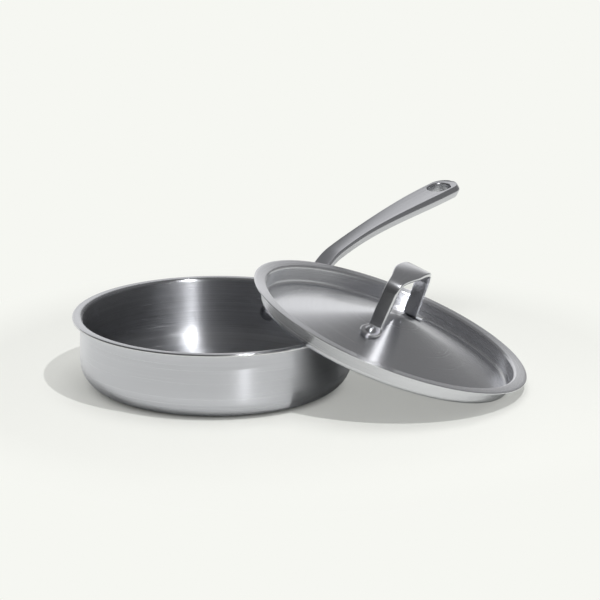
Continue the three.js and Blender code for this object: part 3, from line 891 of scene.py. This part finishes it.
def setting_tree():
    """Sets a copy of a piece at every point it is given, turned by the point's own angles."""
    tree, sockets, start, end = started_tree("set_rivets", (
        ("Holes", "NodeSocketGeometry"), ("Rivet", "NodeSocketObject"),
        ("Size", "NodeSocketFloat"), ("Finish", "NodeSocketMaterial"),
    ), "Rivets")
    shape = node(tree, "GeometryNodeObjectInfo", {"Object": start.outputs["Rivet"]})
    angles = node(
        tree, "GeometryNodeInputNamedAttribute", {"Name": "turn"}, data_type="FLOAT_VECTOR")
    turn = node(tree, "FunctionNodeEulerToRotation", {"Euler": angles.outputs["Attribute"]})
    put = node(tree, "GeometryNodeInstanceOnPoints", {
        "Points": start.outputs["Holes"], "Instance": shape.outputs["Geometry"],
        "Rotation": turn.outputs["Rotation"], "Scale": start.outputs["Size"],
    })
    finished_tree(tree, put.outputs["Instances"], start, end)
    return tree, sockets


SETTING, SETTING_SOCKETS = setting_tree()


def set_rivets(name, section, places, body, solids):
    """Rivets of one section at each place, as one piece."""
    rivet = turned_mesh(name + "_pattern", section, rivet_steel, RIVET_SEGMENTS)
    pattern = placed(name + "_pattern", rivet)
    holes = bpy.data.meshes.new(name + "_holes")
    holes.from_pydata([place.to_translation() for place in places], [], [])
    turns = holes.attributes.new("turn", "FLOAT_VECTOR", "POINT")
    for spot, place in zip(turns.data, places):
        spot.vector = place.to_euler("XYZ")
    mesh = made_by(SETTING, SETTING_SOCKETS, placed(name + "_holes", holes), {
        "Rivet": pattern, "Size": 1.0, "Finish": rivet_steel,
    })
    bpy.data.objects.remove(pattern)
    keep_piece(name, mesh, body, solids, rivet_steel, sharp=50)


def make_rivets():
    """Two rivets through the pan's wall and two through the lid."""
    # The solids' wall is made of flat facets, which lie a little nearer to the axis
    inside_face = (BODY_RADIUS - WALL) * math.cos(math.pi / SOLID_SEGMENTS)
    head_seat = math.sqrt(inside_face ** 2 - PAN_RIVET["head_radius"] ** 2) - SEAT_GAP
    tail_seat = PLATE_INSIDE + PLATE_THICKNESS + SEAT_GAP
    pan_rivet = rivet_section(**PAN_RIVET, grip=tail_seat - head_seat)
    places = [
        Matrix.Rotation(side * RIVET_ANGLE, 4, "Z")
        @ Matrix.Translation(Vector((tail_seat, 0, RIVET_HEIGHT)) * MM)
        @ Matrix.Rotation(-QUARTER, 4, "Y")
        for side in (1, -1)
    ]
    set_rivets("pan_rivets", pan_rivet, places, "pan", ["pan_rivet_left", "pan_rivet_right"])
    lid_tail = -LID_SHEET - SEAT_GAP
    lid_rivet = rivet_section(**LID_RIVET, grip=STRAP_THICKNESS + 2 * SEAT_GAP - lid_tail)
    places = [
        LID_PLACE @ Matrix.Rotation(STRAP_ANGLE + turn, 4, "Z")
        @ Matrix.Translation(Vector((LID_RIVET_OFFSET, 0, cone_height(LID_RIVET_OFFSET))) * MM)
        @ Matrix.Rotation(CONE_SLOPE, 4, "Y") @ Matrix.Translation((0, 0, lid_tail * MM))
        for turn in (0, math.pi)
    ]
    set_rivets("lid_rivets", lid_rivet, places, "lid", ["lid_rivet_near", "lid_rivet_far"])


make_pan()
make_pan_handle()
make_lid_shell()
make_lid_handle()
make_rivets()


# Floor, light and camera, in metres

VIEW_AZIMUTH = math.radians(-52)
VIEW_ELEVATION = math.radians(15.91)
VIEW_DISTANCE = 4.8642
VIEW_TARGET = Vector((0.0504, -0.0645, 0.0840))
LENS = 300
SENSOR_WIDTH = 36
VIEW_REACH = 100

BACKGROUND = (0.922, 0.930, 0.888)
WORKTOP = (0.895, 0.902, 0.861)
FLOOR_HALF = 12
FLOOR_DROP = 0.0002
FLOOR_MIDDLE = (0.06, -0.06, 0)
FLOOR_FADE = (0.25, 0.42)
# Share of glow for camera rays near the object: painted light that makes the cast shadows on the
# floor lighter
PAINTED_SHADOW_LIFT = 0.37
# Distances from the pan's axis over which that glow comes in: inside them it is left out, which
# paints a darker contact shade round the pan's base
PAINTED_CONTACT_SHADE_FADE = (0.106, 0.13)

# The world's edges are ranges of the cosine between a ray and a direction
ROOM_SIDE = (0.62, 0.62, 0.48)
ROOM_FADE = (-0.6, 0.45)
ROOM_TONES = (0.08, 0.22)
SWEEP_TONE = 0.95
SWEEP_RIGHT = math.radians(12)
SWEEP_RIGHT_FADE = (-0.04, 0.09)
SWEEP_LEFT = math.radians(40)
SWEEP_LEFT_FADE = (-0.03, 0.2)
SWEEP_TOP_FADE = (0.45, 0.68)

KEY_POWER = 74
KEY_PLACE = (0.58, -0.845, 1.70)
KEY_SIZE = 0.016
FILL_POWER = 21
FILL_PLACE = (0.05, 0.05, 2.4)
FILL_SIZE = 1.6


def seen_from_camera(right, away, up):
    """A point given as right, away and up from the pan, as the camera sees them."""
    turn = Matrix.Rotation(VIEW_AZIMUTH, 4, "Z")
    return turn @ Vector((right, away, up))


def make_floor():
    """Pale worktop that is lit near the object and even further out, with painted light that lightens
    its shadows for the camera, left out round the pan's base as painted contact shade.
    """
    mesh = bpy.data.meshes.new("floor")
    corners = [(x * FLOOR_HALF, y * FLOOR_HALF, 0) for x, y in ((-1, -1), (1, -1), (1, 1), (-1, 1))]
    mesh.from_pydata(corners, [], [(0, 1, 2, 3)])
    floor = placed("floor", mesh)
    floor.location.z = -FLOOR_DROP
    paint = bpy.data.materials.new("pale_worktop")
    paint.use_nodes = True
    tree = paint.node_tree
    tree.nodes.remove(tree.nodes["Principled BSDF"])
    matt = node(tree, "ShaderNodeBsdfDiffuse", {"Color": (*WORKTOP, 1)})
    even = node(tree, "ShaderNodeEmission", {"Color": (*BACKGROUND, 1)})
    place = node(tree, "ShaderNodeTexCoord").outputs["Object"]
    rays = node(tree, "ShaderNodeLightPath")
    camera_ray, glossy_ray = rays.outputs["Is Camera Ray"], rays.outputs["Is Glossy Ray"]
    from_middle = node(
        tree, "ShaderNodeVectorMath", {0: place, 1: FLOOR_MIDDLE}, operation="DISTANCE")
    from_axis = node(tree, "ShaderNodeVectorMath", {0: place}, operation="LENGTH")
    far = ranged(tree, from_middle.outputs["Value"], FLOOR_FADE, (0, 1))
    # Glow share from the pan's axis outwards: none next to the base, which paints a darker contact
    # shade there
    clear = ranged(tree, from_axis.outputs["Value"], PAINTED_CONTACT_SHADE_FADE, (0, PAINTED_SHADOW_LIFT))
    seen = worked_out(tree, "MAXIMUM", camera_ray, glossy_ray)
    far_share = worked_out(tree, "MULTIPLY", seen, far)
    # Painted light: the floor glows for camera rays only, which lightens the shadows that the camera
    # sees
    painted_shadow_glow = worked_out(tree, "MULTIPLY", camera_ray, clear)
    blend = node(tree, "ShaderNodeMixShader", {
        "Fac": worked_out(tree, "MAXIMUM", far_share, painted_shadow_glow),
        1: matt.outputs["BSDF"], 2: even.outputs["Emission"],
    })
    tree.links.new(blend.outputs["Shader"], tree.nodes["Material Output"].inputs["Surface"])
    mesh.materials.append(paint)


def make_world():
    """A white sweep behind the object, in a room that is dim in front and on the left."""
    world = bpy.data.worlds.new("studio")
    world.use_nodes = True
    bpy.context.scene.world = world
    tree = world.node_tree
    sky = tree.nodes["Background"]
    way = node(tree, "ShaderNodeTexCoord").outputs["Generated"]

    def facing(direction, turn, tones):
        """A tone that changes as a ray turns towards a direction."""
        turned_to = node(
            tree, "ShaderNodeVectorMath", {0: way, 1: direction}, operation="DOT_PRODUCT")
        return ranged(tree, turned_to.outputs["Value"], turn, tones)

    to_right = seen_from_camera(math.cos(SWEEP_RIGHT), -math.sin(SWEEP_RIGHT), 0)
    to_left = seen_from_camera(-math.cos(SWEEP_LEFT), -math.sin(SWEEP_LEFT), 0)
    sweep = facing(to_right, SWEEP_RIGHT_FADE, (1, 0))
    for direction, fade in ((to_left, SWEEP_LEFT_FADE), ((0, 0, 1), SWEEP_TOP_FADE)):
        sweep = worked_out(tree, "MULTIPLY", sweep, facing(direction, fade, (1, 0)))
    room = facing(seen_from_camera(*ROOM_SIDE), ROOM_FADE, ROOM_TONES)
    tree.links.new(mixed(tree, sweep, room, SWEEP_TONE), sky.inputs["Strength"])
    sky.inputs["Color"].default_value = (1, 1, 1, 1)


def make_lamp(name, kind, power, place, size):
    """A lamp at a place seen from the camera, turned to the middle of the pan's base."""
    lamp = bpy.data.lights.new(name, kind)
    lamp.energy = power
    if kind == "AREA":
        lamp.shape = "RECTANGLE"
        lamp.size = lamp.size_y = size
    else:
        lamp.shadow_soft_size = size
    holder = placed(name, lamp)
    spot = seen_from_camera(*place)
    holder.location = spot
    holder.rotation_euler = (-spot).to_track_quat("-Z", "Y").to_euler()
    return holder


def make_lamps():
    """A small key lamp at the front right, and a soft fill that the steel does not mirror."""
    make_lamp("key", "POINT", KEY_POWER, KEY_PLACE, KEY_SIZE)
    overhead = make_lamp("overhead", "AREA", FILL_POWER, FILL_PLACE, FILL_SIZE)
    overhead.visible_glossy = False


def make_camera():
    """The photograph's viewing angle."""
    lens = bpy.data.cameras.new("camera")
    lens.lens = LENS
    lens.sensor_width = SENSOR_WIDTH
    lens.clip_end = VIEW_REACH
    camera = placed("camera", lens)
    back = Vector((
        math.sin(VIEW_AZIMUTH) * math.cos(VIEW_ELEVATION),
        -math.cos(VIEW_AZIMUTH) * math.cos(VIEW_ELEVATION),
        math.sin(VIEW_ELEVATION),
    ))
    camera.location = VIEW_TARGET + back * VIEW_DISTANCE
    camera.rotation_euler = (-back).to_track_quat("-Z", "Y").to_euler()
    bpy.context.scene.camera = camera


make_floor()
make_world()
make_lamps()
make_camera()
bpy.context.scene.view_settings.view_transform = "Standard"
